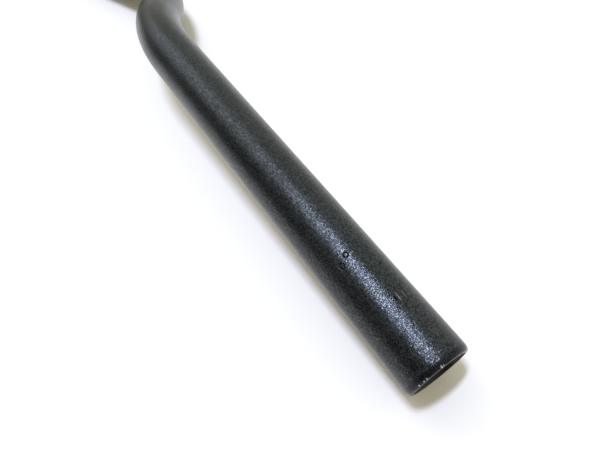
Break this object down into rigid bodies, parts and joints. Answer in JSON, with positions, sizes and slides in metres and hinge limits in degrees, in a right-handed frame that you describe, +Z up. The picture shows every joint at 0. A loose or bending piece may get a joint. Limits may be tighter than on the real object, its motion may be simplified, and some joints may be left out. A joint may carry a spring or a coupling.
{
  "type": "riser handlebar",
  "caption": "Black painted riser handlebar: one bent aluminium tube, thick and straight where the stem clamps, rising and sweeping back to slim straight grips with open ends.",
  "frame": {"origin": "middle of the clamp section's axis", "axes": "+X along the clamp axis towards the rider's right-hand end, +Z up from the surface the bar lies on, +Y away from the swept-back ends"},
  "size_m": [0.7236, 0.0901, 0.041],
  "materials": {
    "paint": "satin black powder coat with a fine texture"
  },
  "bodies": {
    "root": {"handlebar": "paint"}
  },
  "joints": []
}
